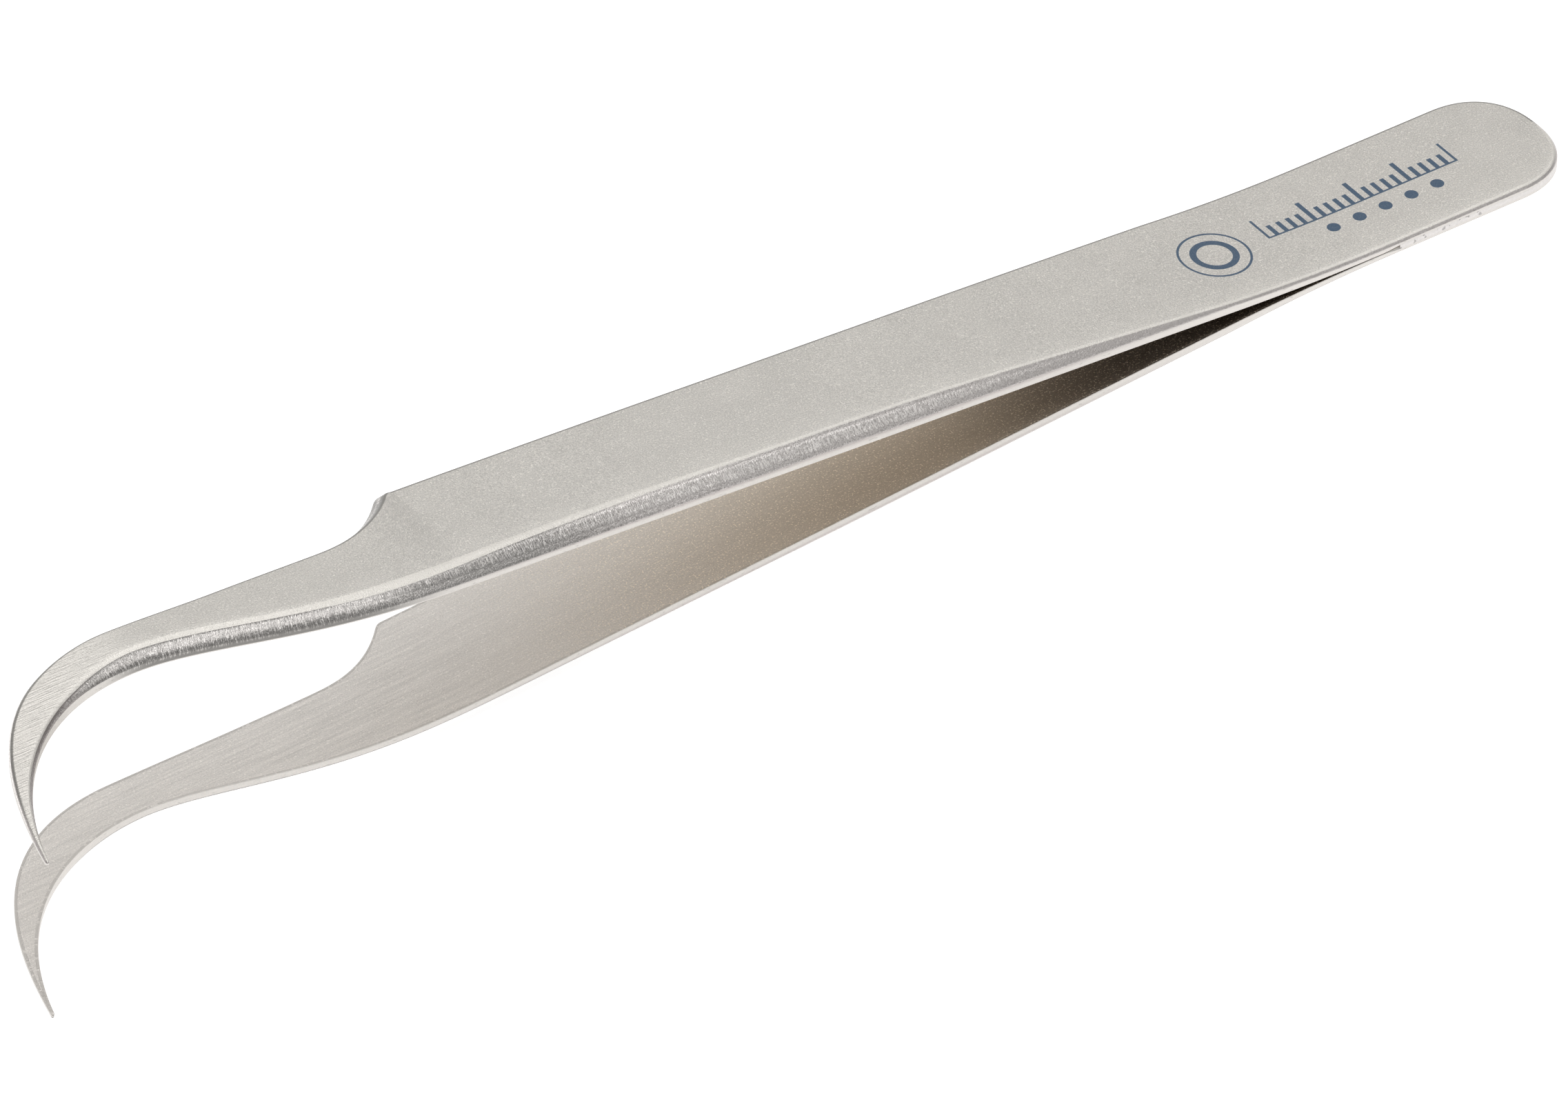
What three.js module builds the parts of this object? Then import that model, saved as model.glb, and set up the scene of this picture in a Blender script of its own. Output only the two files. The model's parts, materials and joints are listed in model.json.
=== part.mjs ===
import * as THREE from 'three';

// Fine-pointed precision tweezers with beaks curved sideways, welded at the heel. Millimetres, +Z up.
//
// The pair is laid out round its own middle plane first. There d runs from the heel end (0) to the
// points, y lies across the arms with the beaks hooking to -y, and z is the opening. s is the distance
// along one arm: it equals d up to the beak and follows the beak round from there. The finished pair is
// then tipped about Y so that it lies on its lower arm, as it does on a bench.

// outline of one arm, seen square to its flat face
const bodyFarY = 4.82;
const bodyNearY = -5.05;
const heelHalfWidth = 4.98;
const heelBlend = [30, 62];       // the heel's width runs into the body's here
const heelRoundLength = 4.9;
const heelRoundPower = 2.3;       // superellipse: 2 is a plain ellipse, more is squarer
const shoulderAt = 84.4;          // step on the far side only
const shoulderY = 4.72;
const neckFarAt = 91;             // the shoulder's hollow runs out here
const neckFarY = 1.74;
const neckSwell = 0.14;           // the neck widens this much again on its way to the beak
const shoulderHollowPower = 2.5;
const neckNearFrom = 80;          // the near side sweeps in from here to the beak
const neckNearY = -1.43;
const neckNearPower = 1.7;
const beakAt = 105.5;
const beakLength = 20;
const beakFarEdge = [[beakAt, neckFarY + neckSwell], [114.6, 1.95], [118.2, -6.1], [120, -14.05]];
const beakNearEdge = [[beakAt, neckNearY], [112.1, -1.4], [117.55, -6.3], [119.78, -14.1]];
const armEnd = beakAt + beakLength;

// section of one arm: flat inside face, upright wall, ground bevel, flat outside face
const heelThickness = 0.5;
const bodyThickness = 1.5;
const neckThickness = 1.2;
const tipThickness = 0.35;
const springTaper = [14, 58];     // the strip is ground thinner from the body to the heel here
const neckTaper = [66, 92];
const beakTaperPower = 1.25;
const bevelLean = 0.95;           // bevel width over bevel depth
const leastBevelDepth = 0.2;
const wallHeights = [[60, 0.52], [90, 0.44], [104, 0.5], [111, 0.65], [armEnd, 0.2]];
const nearBevelGain = [
  [54, 1], [82, 1.3], [101, 1.5], [105, 1.42], [111, 1.15], [116, 0.85], [armEnd, 0.45],
];
const farBevelGain = [[shoulderAt, 1], [88, 0.78], [98, 0.7], [106, 0.34], [111, 0.7], [armEnd, 0.4]];

// bow of the arms
const halfSeam = 0.02;            // half the gap between the two strips at the heel
const openSlope = 0.072;          // slope of each arm's inside face to the middle plane
const openBend = [15.5, 27];      // where the strips spring apart
const beakEase = 0.05;            // slope taken off again towards the points
const beakBend = [80, 100];

// heel weld and the place where the springing is hinged
const weldEnd = 14.4;
const weldGroove = 0.17;
const weldGrooveRunOut = 1.2;
const seamBreak = 0.03;
const weldClearance = 0.045;
const hingeAt = 24;
const hingeGap = 0.06;

// lie of the finished pair: the line under the heel end and the belly of the lower arm is the bench
const bellyAt = 70;

const steel = new THREE.MeshStandardMaterial({ color: 0xbdbab4, roughness: 0.38, metalness: 1 });
const weldSteel = new THREE.MeshStandardMaterial({ color: 0xc6c2bc, roughness: 0.5, metalness: 1 });

function smooth(value, from, to) {
  return THREE.MathUtils.smoothstep(value, from, to);
}

// travel past a bend that starts at `from` and is complete at `to`, for a slope of 1
function bendTravel(d, [from, to]) {
  if (d <= from) return 0;
  if (d >= to) return d - (from + to) / 2;
  return (d - from) ** 2 / (2 * (to - from));
}

function insideHeight(d) {
  return halfSeam + openSlope * bendTravel(d, openBend) - beakEase * bendTravel(d, beakBend);
}

// eased run through a short list of [s, value] knots
function knots(s, list) {
  if (s <= list[0][0]) return list[0][1];
  for (let i = 1; i < list.length; i += 1) {
    const [from, a] = list[i - 1];
    const [to, b] = list[i];
    if (s <= to) return a + (b - a) * smooth(s, from, to);
  }
  return list[list.length - 1][1];
}

function thickness(s) {
  const spring = (bodyThickness - heelThickness) * smooth(s, ...springTaper);
  const neck = (bodyThickness - neckThickness) * smooth(s, ...neckTaper);
  const along = Math.max(0, (s - beakAt) / beakLength);
  return heelThickness + spring - neck - (neckThickness - tipThickness) * along ** beakTaperPower;
}

function wallHeight(s) {
  const least = leastBevelDepth * Math.min(1, thickness(s) / heelThickness);
  return Math.min(knots(s, wallHeights), thickness(s) - least);
}

function bevelWidth(s, side) {
  const gain = knots(s, side > 0 ? farBevelGain : nearBevelGain);
  return bevelLean * (thickness(s) - wallHeight(s)) * gain;
}

function cubic(points, t) {
  const curve = new THREE.CubicBezierCurve(...points.map(([x, y]) => new THREE.Vector2(x, y)));
  return curve.getPoint(t);
}

// a point of the arm's outline: side is +1 for the far edge and -1 for the near edge
function edge(s, side) {
  if (s > beakAt) return cubic(side > 0 ? beakFarEdge : beakNearEdge, (s - beakAt) / beakLength);
  const heelY = side * heelHalfWidth;
  let y = heelY + ((side > 0 ? bodyFarY : bodyNearY) - heelY) * smooth(s, ...heelBlend);
  if (s < heelRoundLength) {
    const back = (heelRoundLength - s) / heelRoundLength;
    y *= (1 - back ** heelRoundPower) ** (1 / heelRoundPower);
  }
  if (side > 0 && s >= shoulderAt) {
    const hollow = Math.max(0, (neckFarAt - s) / (neckFarAt - shoulderAt));
    y = neckFarY + (shoulderY - neckFarY) * hollow ** shoulderHollowPower;
    y += neckSwell * smooth(s, neckFarAt, beakAt);
  }
  if (side < 0 && s > neckNearFrom) {
    const along = (s - neckNearFrom) / (beakAt - neckNearFrom);
    y += (neckNearY - bodyNearY) * smooth(along ** neckNearPower, 0, 1);
  }
  return new THREE.Vector2(s, y);
}

function range(from, to, steps) {
  return Array.from({ length: steps + 1 }, (_, i) => from + ((to - from) * i) / steps);
}

// where each arm is cut into stations: close together where its outline or its section turns
const heelRoundStations = range(0, Math.PI / 2, 14)
  .map((turn) => heelRoundLength * (1 - Math.cos(turn) ** (2 / heelRoundPower)));
const weldRunOutStations = range(weldEnd, weldEnd + weldGrooveRunOut, 2);
const heelStations = [
  ...heelRoundStations, 9, ...weldRunOutStations, ...range(18, hingeAt - hingeGap / 2, 4),
];
const bodyStations = [27, ...range(30, 57, 9), 61, 65, bellyAt, 74, ...range(77, 84.3, 3)];
const neckStations = [...range(shoulderAt, neckFarAt, 9), ...range(93, 104, 7)];
const beakStations = range(beakAt, armEnd, 22);
const armStations = [hingeAt + hingeGap / 2, ...bodyStations, ...neckStations, ...beakStations];

// the outline as one ring of stations: out along the far edge and back along the near edge
function outline(stations) {
  const far = stations.map((s) => ({ s, side: 1, at: edge(s, 1) }));
  const near = stations.map((s) => ({ s, side: -1, at: edge(s, -1) }));
  if (stations[0] === 0) near.shift();
  const ring = [...far, ...near.reverse()];
  ring.forEach((point, i) => {
    const before = ring[(i + ring.length - 1) % ring.length];
    const after = ring[(i + 1) % ring.length];
    const sameBefore = before.side === point.side || point.s === 0 ? before : point;
    const sameAfter = after.side === point.side || before.side !== point.side ? after : point;
    const run = new THREE.Vector2().subVectors(sameAfter.at, sameBefore.at).normalize();
    point.out = new THREE.Vector2(-run.y, run.x);
  });
  return ring;
}

// one ring of vertices: drawn in from the outline by `inset` and standing `height` over the inside face
function level(ring, inset, height) {
  return ring.map((point) => {
    const at = point.at.clone().addScaledVector(point.out, -inset(point));
    return new THREE.Vector3(-at.x, at.y, insideHeight(at.x) + height(point));
  });
}

// closed solid from stacked rings, capped by strips that join each far point to its near point
function stack(levels, sharedStart, mirrored) {
  const count = levels[0].length;
  const points = levels.flat();
  const faces = [];
  for (let k = 0; k + 1 < levels.length; k += 1) {
    for (let i = 0; i < count; i += 1) {
      const j = (i + 1) % count;
      const [a, b, c, d] = [k * count + i, k * count + j, (k + 1) * count + j, (k + 1) * count + i];
      faces.push([a, b, c], [a, c, d]);
    }
  }
  const partner = (i) => (sharedStart ? (count - i) % count : count - 1 - i);
  const lastFar = sharedStart ? (count - 1) / 2 : count / 2 - 1;
  const top = (levels.length - 1) * count;
  for (let i = 0; i < lastFar; i += 1) {
    const quad = [i, i + 1, partner(i + 1), partner(i)];
    const triangles = partner(i) === i ? [[0, 1, 2]] : [[0, 1, 2], [0, 2, 3]];
    for (const [a, b, c] of triangles) {
      faces.push([quad[a], quad[c], quad[b]]);
      faces.push([top + quad[a], top + quad[b], top + quad[c]]);
    }
  }
  const flat = points.flatMap((p) => [p.x, p.y, mirrored ? -p.z : p.z]);
  const geometry = new THREE.BufferGeometry();
  geometry.setAttribute('position', new THREE.Float32BufferAttribute(flat, 3));
  geometry.setIndex(faces.flatMap(([a, b, c]) => (mirrored ? [a, c, b] : [a, b, c])));
  geometry.computeVertexNormals();
  return geometry;
}

function solid(name, geometry, material) {
  const mesh = new THREE.Mesh(geometry, material);
  mesh.name = name;
  return mesh;
}

function grooveDepth(s) {
  return weldGroove + (seamBreak - weldGroove) * smooth(s, weldEnd, weldEnd + weldGrooveRunOut);
}

// heel end of one strip, with half of the weld groove round its inside edge
function heelStrip(mirrored) {
  const ring = outline(heelStations);
  return stack([
    level(ring, (p) => grooveDepth(p.s), () => 0),
    level(ring, () => 0, (p) => grooveDepth(p.s)),
    level(ring, () => 0, (p) => wallHeight(p.s)),
    level(ring, (p) => bevelWidth(p.s, p.side), (p) => thickness(p.s)),
  ], true, mirrored);
}

// springing blade of one strip, from the hinge line to the point
function bladeStrip(mirrored) {
  const ring = outline(armStations);
  return stack([
    level(ring, () => 0, () => 0),
    level(ring, () => 0, (p) => wallHeight(p.s)),
    level(ring, (p) => bevelWidth(p.s, p.side), (p) => thickness(p.s)),
  ], false, mirrored);
}

// three-cornered bead that fills both grooves, laid in a U round the heel and ground flush outside
function weldBead() {
  const stations = heelStations.filter((s) => s <= weldEnd);
  const ring = outline(stations);
  const turn = stations.length;
  const path = [...ring.slice(turn), ...ring.slice(0, turn)];
  const reach = halfSeam + weldGroove - weldClearance;
  const points = path.flatMap(({ at, out }) => {
    const root = at.clone().addScaledVector(out, -reach);
    return [[-at.x, at.y, reach], [-at.x, at.y, -reach], [-root.x, root.y, 0]];
  });
  const faces = [];
  for (let i = 0; i + 1 < path.length; i += 1) {
    for (let k = 0; k < 3; k += 1) {
      const [a, b] = [3 * i + k, 3 * i + ((k + 1) % 3)];
      faces.push([a, b, b + 3], [a, b + 3, a + 3]);
    }
  }
  const last = 3 * (path.length - 1);
  faces.push([0, 2, 1], [last, last + 1, last + 2]);
  const geometry = new THREE.BufferGeometry();
  geometry.setAttribute('position', new THREE.Float32BufferAttribute(points.flat(), 3));
  geometry.setIndex(faces.flat());
  geometry.computeVertexNormals();
  return geometry;
}

const pair = new THREE.Group();
pair.add(
  solid('upper_heel', heelStrip(false), steel),
  solid('lower_heel', heelStrip(true), steel),
  solid('heel_weld', weldBead(), weldSteel),
  solid('upper_arm', bladeStrip(false), steel),
  solid('lower_arm', bladeStrip(true), steel),
);

// tip the pair onto its lower arm, then put the origin under the middle of its box; at the heel it
// rests on the line where the end's bevel meets the outside face
const heelToeAt = bevelWidth(0, 1);
const bellyDrop = insideHeight(bellyAt) + thickness(bellyAt) - halfSeam - heelThickness;
pair.rotation.y = Math.atan(bellyDrop / (bellyAt - heelToeAt));
const tweezers = new THREE.Group();
tweezers.add(pair);
tweezers.updateMatrixWorld(true);
const box = new THREE.Box3().setFromObject(tweezers, true);
const middle = box.getCenter(new THREE.Vector3());
tweezers.position.set(-middle.x, -middle.y, -box.min.z);

export default tweezers;
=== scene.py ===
import json
import math

import bmesh
import bpy
import numpy as np
from mathutils import Matrix, Vector


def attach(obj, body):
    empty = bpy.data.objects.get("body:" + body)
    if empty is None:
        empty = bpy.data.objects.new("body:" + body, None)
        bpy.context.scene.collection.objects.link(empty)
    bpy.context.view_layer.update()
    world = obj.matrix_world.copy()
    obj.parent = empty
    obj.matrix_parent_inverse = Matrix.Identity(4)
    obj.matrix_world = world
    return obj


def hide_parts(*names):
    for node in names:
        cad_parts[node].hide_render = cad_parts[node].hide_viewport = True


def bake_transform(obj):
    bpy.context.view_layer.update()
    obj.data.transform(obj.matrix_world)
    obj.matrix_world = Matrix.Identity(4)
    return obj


# Fine-pointed steel tweezers with beaks curved sideways. Lengths in the dictionaries are millimetres.
# The pair is laid out round its middle plane: s runs along an arm from the heel end, y lies across it
# with the beaks hooking to -y, and z is the opening. "lie" turns that layout into the CAD model's frame.

mm = 0.001

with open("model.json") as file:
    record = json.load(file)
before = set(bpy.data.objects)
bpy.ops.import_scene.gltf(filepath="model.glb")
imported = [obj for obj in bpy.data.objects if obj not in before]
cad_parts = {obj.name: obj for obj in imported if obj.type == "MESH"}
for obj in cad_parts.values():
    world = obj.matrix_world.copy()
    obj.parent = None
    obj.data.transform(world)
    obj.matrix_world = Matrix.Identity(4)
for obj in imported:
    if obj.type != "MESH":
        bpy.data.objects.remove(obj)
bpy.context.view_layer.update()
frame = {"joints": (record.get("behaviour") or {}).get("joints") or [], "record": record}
record = frame["record"]


class Link:
    # a node's output that can stand in an expression: each operator adds its Math node
    def __init__(self, sheet, socket):
        self.sheet = sheet
        self.socket = socket

    def maths(self, operation, *values):
        node = self.sheet.add("ShaderNodeMath", {"operation": operation},
                              dict(enumerate(values)))
        return Link(self.sheet, node.outputs[0])

    def __add__(self, other):
        return self.maths("ADD", self, other)

    def __radd__(self, other):
        return self.maths("ADD", other, self)

    def __sub__(self, other):
        return self.maths("SUBTRACT", self, other)

    def __rsub__(self, other):
        return self.maths("SUBTRACT", other, self)

    def __mul__(self, other):
        return self.maths("MULTIPLY", self, other)

    def __rmul__(self, other):
        return self.maths("MULTIPLY", other, self)

    def __truediv__(self, other):
        return self.maths("DIVIDE", self, other)

    def __rtruediv__(self, other):
        return self.maths("DIVIDE", other, self)

    def __abs__(self):
        return self.maths("ABSOLUTE", self)

    def floor(self):
        return self.maths("FLOOR", self)

    def root(self):
        return self.maths("SQRT", self)

    def modulo(self, other):
        return self.maths("FLOORED_MODULO", self, other)

    def most(self, other):
        return self.maths("MAXIMUM", self, other)

    def ramp(self, start, end):
        # 0 before start and 1 after end, eased; start may be the larger of the two
        node = self.sheet.add("ShaderNodeMapRange",
                              {"interpolation_type": "SMOOTHSTEP"},
                              {"Value": self, "From Min": start, "From Max": end})
        return Link(self.sheet, node.outputs["Result"])


class Sheet:
    # one node tree, for a finish or for a modifier
    def __init__(self, tree):
        self.tree = tree

    def add(self, kind, settings=None, values=None):
        node = self.tree.nodes.new(kind)
        for name, value in (settings or {}).items():
            setattr(node, name, value)
        for name, value in (values or {}).items():
            if isinstance(value, Link):
                self.tree.links.new(value.socket, node.inputs[name])
            else:
                node.inputs[name].default_value = value
        return node

    def link(self, kind, settings=None, values=None, output=0):
        return Link(self, self.add(kind, settings, values).outputs[output])


outline = {
    "bodyFarY": 4.82,
    "bodyNearY": -5.05,
    "heelHalfWidth": 4.98,
    "heelBlend": (30, 62),          # the heel's width runs into the body's here
    "heelRoundLength": 4.9,
    "heelRoundPower": 2.3,          # 2 is a plain ellipse, more is squarer
    "shoulderAt": 84.4,             # step on the far side only
    "shoulderY": 4.72,
    "shoulderSoftness": 0.35,       # larger rounds the step's corner more
    "hollowPower": 2.5,             # larger makes the hollow behind the step tighter
    "neckFarAt": 91,
    "neckFarY": 1.74,
    "neckSwell": 0.14,              # the neck widens this much again on its way to the beak
    "neckNearFrom": 80,             # the near side sweeps in from here to the beak
    "neckNearY": -1.43,
    "neckNearPower": 1.7,
    "beakAt": 105.5,
    "beakLength": 20,
    "beakFarEdge": ((105.5, 1.88), (114.6, 1.95), (118.2, -6.1), (120, -14.05)),
    "beakNearEdge": ((105.5, -1.43), (112.1, -1.4), (117.55, -6.3), (119.78, -14.1)),
    "reach": 0.02,                  # an edge's direction is taken over this length
    "shoulderReach": 0.9,           # and over this much more round the shoulder
    "shoulderSpread": 1.6,
}
armEnd = outline["beakAt"] + outline["beakLength"]

section = {
    "heelThickness": 0.5,
    "bodyThickness": 1.5,
    "neckThickness": 1.2,
    "tipThickness": 0.35,
    "springTaper": (14, 58),        # the strip is ground thinner from the body to the heel here
    "neckTaper": (66, 92),
    "beakTaperPower": 1.25,
    "bevelLean": 0.95,              # bevel width over bevel depth
    "leastBevelDepth": 0.2,
    "wallHeights": ((60, 0.52), (90, 0.44), (104, 0.5), (111, 0.65), (armEnd, 0.2)),
    "nearBevelGain": ((54, 1), (82, 1.3), (101, 1.5), (105, 1.42), (111, 1.15), (116, 0.85),
                      (armEnd, 0.45)),
    "farBevelGain": ((84.4, 1), (88, 0.78), (98, 0.7), (106, 0.34), (111, 0.7), (armEnd, 0.4)),
    "weldGroove": (14.4, 15.6, 0.17, 0.035),  # end of weld, end of run-out, depth before and after
}

# how far each edge of the section is rubbed round, measured along the faces beside it
softness = {
    "wallTop": ((70, 0.15), (92, 0.3), (106, 0.28), (116, 0.1), (armEnd, 0.05)),
    "farFaceEdge": ((70, 0.1), (90, 0.14), (106, 0.12), (113, 0.22), (armEnd, 0.06)),
    "nearFaceEdge": ((50, 0.14), (78, 0.24), (90, 0.5), (100, 0.5), (110, 0.3), (armEnd, 0.05)),
    "cornerSteps": 5,
    "support": 0.03,                # narrow strip that keeps each flat face flat up to its edge
    "grooveCorner": 0.12,           # the groove's two inner corners, as shares of its depth
    "grooveSlope": 0.6,
    "wallShare": 0.4,               # no edge is rubbed over more than these shares of what lies beside it
    "slantShare": 0.5,
    "faceShare": 0.6,
    "leastFace": 0.02,
    "heelTip": 0.6,                 # so near the end of the heel the face's share is not looked at
    "bevelRows": (0.1, 0.9),        # two rows that hold the bevel flat between its edges
    "wallZoneTo": 0.5,              # where a finish gives way to the next, along each rounded edge
    "bevelZoneTo": 0.3,
    "noseLength": 0.16,
}

# where each arm is cut into sections, close together where its outline or its section turns
loft = {
    "heelSteps": 40,
    "runs": ((5.2, 83, 150), (83.2, 86, 40), (86.15, 105.4, 100)),  # from, to, how many
    "beakFrom": 105.6,
    "beakSteps": 120,
    "noseSteps": 8,
    "noseGap": 0.05,
    "splits": (0.15, 0.5, 0.85),    # extra points across the two flat faces
    "mergeDistance": 0.0004,
}
sliver = 1e-8                       # metres; faces with shorter edges are taken out

bow = {
    "halfSeam": 0.02,               # half the gap between the two strips at the heel
    "openSlope": 0.072,             # slope of each arm's inside face to the middle plane
    "openBend": (15.5, 27),         # where the strips spring apart
    "beakEase": 0.05,               # slope taken off again towards the points
    "beakBend": (80, 100),
    "hingeAt": 24,
    "bendZone": (14.4, 44),         # the strips flex between these places
}


def ease(value, start, end):
    t = np.clip((value - start) / (end - start), 0, 1)
    return t * t * (3 - 2 * t)


def knots(s, steps):
    # eased run through a short list of (place, value)
    result = np.full_like(s, steps[0][1], dtype=float)
    for (start, before), (end, after) in zip(steps, steps[1:]):
        result = result + (after - before) * ease(s, start, end)
    return result


def bendTravel(s, start, end):
    # sideways travel past a bend between start and end, for a slope of 1 after it
    curved = np.clip(s - start, 0, end - start) ** 2 / (2 * (end - start))
    return curved + np.maximum(s - end, 0)


def insideHeight(s):
    opened = bow["openSlope"] * bendTravel(s, *bow["openBend"])
    return bow["halfSeam"] + opened - bow["beakEase"] * bendTravel(s, *bow["beakBend"])


def thickness(s):
    p = section
    spring = (p["bodyThickness"] - p["heelThickness"]) * ease(s, *p["springTaper"])
    neck = (p["bodyThickness"] - p["neckThickness"]) * ease(s, *p["neckTaper"])
    along = np.maximum(0, (s - outline["beakAt"]) / outline["beakLength"])
    tip = (p["neckThickness"] - p["tipThickness"]) * along ** p["beakTaperPower"]
    return p["heelThickness"] + spring - neck - tip


def wallHeight(s):
    p = section
    least = p["leastBevelDepth"] * np.minimum(1, thickness(s) / p["heelThickness"])
    return np.minimum(knots(s, p["wallHeights"]), thickness(s) - least)


def bevelWidth(s, side):
    gain = knots(s, section["farBevelGain"] if side > 0 else section["nearBevelGain"])
    return section["bevelLean"] * (thickness(s) - wallHeight(s)) * gain


def grooveDepth(s):
    start, end, deep, shallow = section["weldGroove"]
    return deep + (shallow - deep) * ease(s, start, end)


def cubic(points, t):
    a, b, c, d = (np.array(p, float)[:, None] for p in points)
    back = 1 - t
    return a * back ** 3 + 3 * b * back * back * t + 3 * c * back * t * t + d * t ** 3


def softLeast(a, b, width):
    # the smaller of the two, with the corner where they cross rounded over width
    share = np.clip(0.5 + 0.5 * (b - a) / width, 0, 1)
    return b + (a - b) * share - width * share * (1 - share)


def edge(s, side):
    # the arm's outline, side +1 for the far edge and -1 for the near edge
    p = outline
    bodyY = p["bodyFarY"] if side > 0 else p["bodyNearY"]
    y = side * p["heelHalfWidth"] + (bodyY - side * p["heelHalfWidth"]) * ease(s, *p["heelBlend"])
    back = np.clip(1 - s / p["heelRoundLength"], 0, 1)
    y = y * (1 - back ** p["heelRoundPower"]) ** (1 / p["heelRoundPower"])
    if side > 0:
        hollow = np.maximum(0, (p["neckFarAt"] - s) / (p["neckFarAt"] - p["shoulderAt"]))
        neck = p["neckFarY"] + (p["shoulderY"] - p["neckFarY"]) * hollow ** p["hollowPower"]
        neck = neck + p["neckSwell"] * ease(s, p["neckFarAt"], p["beakAt"])
        y = softLeast(y, neck, p["shoulderSoftness"])
    else:
        along = np.clip((s - p["neckNearFrom"]) / (p["beakAt"] - p["neckNearFrom"]), 0, 1)
        y = y + (p["neckNearY"] - bodyY) * ease(along ** p["neckNearPower"], 0, 1)
    t = np.clip((s - p["beakAt"]) / p["beakLength"], 0, 1)
    beak = cubic(p["beakFarEdge"] if side > 0 else p["beakNearEdge"], t)
    onBeak = s > p["beakAt"]
    return np.stack([np.where(onBeak, beak[0], s), np.where(onBeak, beak[1], y)], axis=1)


def quarterTurn(steps):
    return np.linspace(0, math.pi / 2, steps)


def heelRound(steps):
    # places along the rounded end of the heel, evenly spread round its turn
    return outline["heelRoundLength"] * (1 - np.cos(quarterTurn(steps)) ** (2 / outline["heelRoundPower"]))


def armStations():
    p = loft
    nose = armEnd - softness["noseLength"] * (1 - np.sin(quarterTurn(p["noseSteps"])))
    beak = np.linspace(p["beakFrom"], nose[0] - p["noseGap"], p["beakSteps"])
    runs = [np.linspace(*run) for run in p["runs"]]
    return np.concatenate([heelRound(p["heelSteps"]), *runs, beak, nose])


def outward(s, side):
    # the edge's outward direction in the flat, taken over a longer stretch round the shoulder so that
    # the bevel turns the corner without folding
    p = outline
    spread = np.exp(-((s - p["shoulderAt"]) / p["shoulderSpread"]) ** 2)
    reach = p["reach"] + p["shoulderReach"] * spread
    near = np.minimum(reach, np.maximum(s, 1e-4) * 0.5)
    run = edge(np.minimum(s + reach, armEnd), side) - edge(s - near, side)
    run = run / np.linalg.norm(run, axis=1)[:, None]
    out = np.stack([-run[:, 1], run[:, 0]], axis=1) * side
    out[s == 0] = (-1, 0)
    return out


def halfSection(s, side):
    # one side of every section as (inset, height, zone, rim), from the inside face round to the outside
    # face; zones: 0 inside face, 1 cut wall, 2 ground bevel, 3 outside face; rim: how far in from the
    # edge of its own face a point lies, negative on the bevel
    high = thickness(s)
    wall = wallHeight(s)
    bevel = bevelWidth(s, side)
    groove = grooveDepth(s)
    slant = np.hypot(bevel, high - wall)
    width = np.linalg.norm(edge(s, 1) - edge(s, -1), axis=1)
    p = softness
    topRub = np.minimum(knots(s, p["wallTop"]), np.minimum(wall - groove, slant) * p["wallShare"])
    faceEdge = knots(s, p["farFaceEdge" if side > 0 else "nearFaceEdge"])
    face = np.maximum(width / 2 - bevel, p["leastFace"])
    slantRoom = slant * p["slantShare"]
    room = np.where(s < p["heelTip"], slantRoom, np.minimum(slantRoom, face * p["faceShare"]))
    faceRub = np.minimum(faceEdge, room)
    hold, corner, incline = p["support"], p["grooveCorner"], p["grooveSlope"]
    zero = np.zeros_like(s)
    slope = np.stack([bevel, high - wall], axis=1) / slant[:, None]
    points = []

    def put(inset, height, zone):
        points.append((inset, height, zero + zone, inset - bevel if zone > 1 else inset))

    put(groove + hold, zero, 0)
    put(groove, zero, 0)
    put(groove * incline, groove * corner, 1)
    put(groove * corner, groove * incline, 1)
    put(zero, groove, 1)
    upright = wall - topRub - groove
    put(zero, groove + upright * corner, 1)
    put(zero, wall - topRub - upright * corner, 1)
    turns = [i / p["cornerSteps"] for i in range(p["cornerSteps"] + 1)]
    for t in turns:
        push = t * t * topRub
        height = wall - (1 - t) ** 2 * topRub + push * slope[:, 1]
        put(push * slope[:, 0], height, 1 if t < p["wallZoneTo"] else 2)
    spare = slant - topRub - faceRub
    for reach in p["bevelRows"]:
        go = topRub + spare * reach
        put(go * slope[:, 0], wall + go * slope[:, 1], 2)
    for t in turns:
        back = (1 - t) ** 2 * faceRub
        push = t * t * faceRub
        inset = bevel - back * slope[:, 0] + push
        put(inset, high - back * slope[:, 1], 2 if t < p["bevelZoneTo"] else 3)
    put(bevel + faceRub + np.minimum(hold, face * 0.1), high, 3)
    return points


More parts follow.
